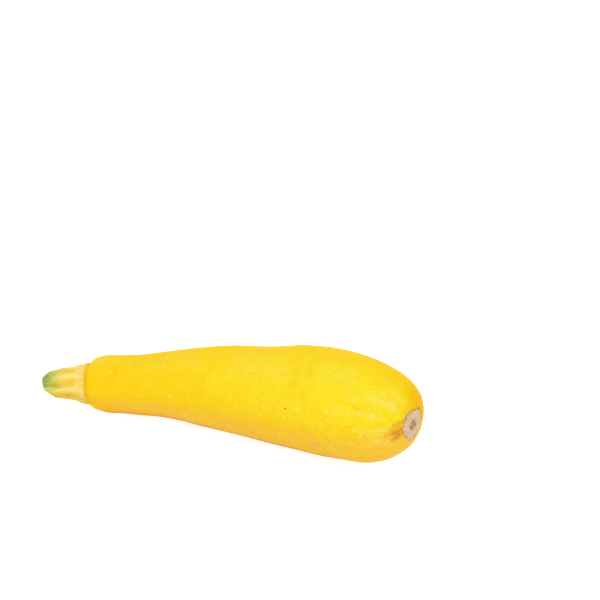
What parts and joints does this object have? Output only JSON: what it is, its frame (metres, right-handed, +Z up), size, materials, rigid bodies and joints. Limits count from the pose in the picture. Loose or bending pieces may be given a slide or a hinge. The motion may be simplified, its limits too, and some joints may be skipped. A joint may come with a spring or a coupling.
{
  "type": "yellow zucchini",
  "caption": "Bowed yellow zucchini as picked, thin at the neck and thick at the blossom end, with its ribbed stem stub cut at a slant; lies on a surface.",
  "frame": {"origin": "on the surface it lies on, under the middle of the whole zucchini's box", "axes": "+X along its length towards the blossom end, with the stem at -X; +Y towards the outer side of its bow; +Z up from the surface"},
  "size_m": [0.1838, 0.0508, 0.0495],
  "materials": {
    "rind": "smooth waxy yellow skin, soft sheen",
    "stem": "ribbed pale yellow-green stem, fine fibres"
  },
  "bodies": {
    "root": {"fruit": "rind", "stem": "stem"}
  },
  "joints": []
}
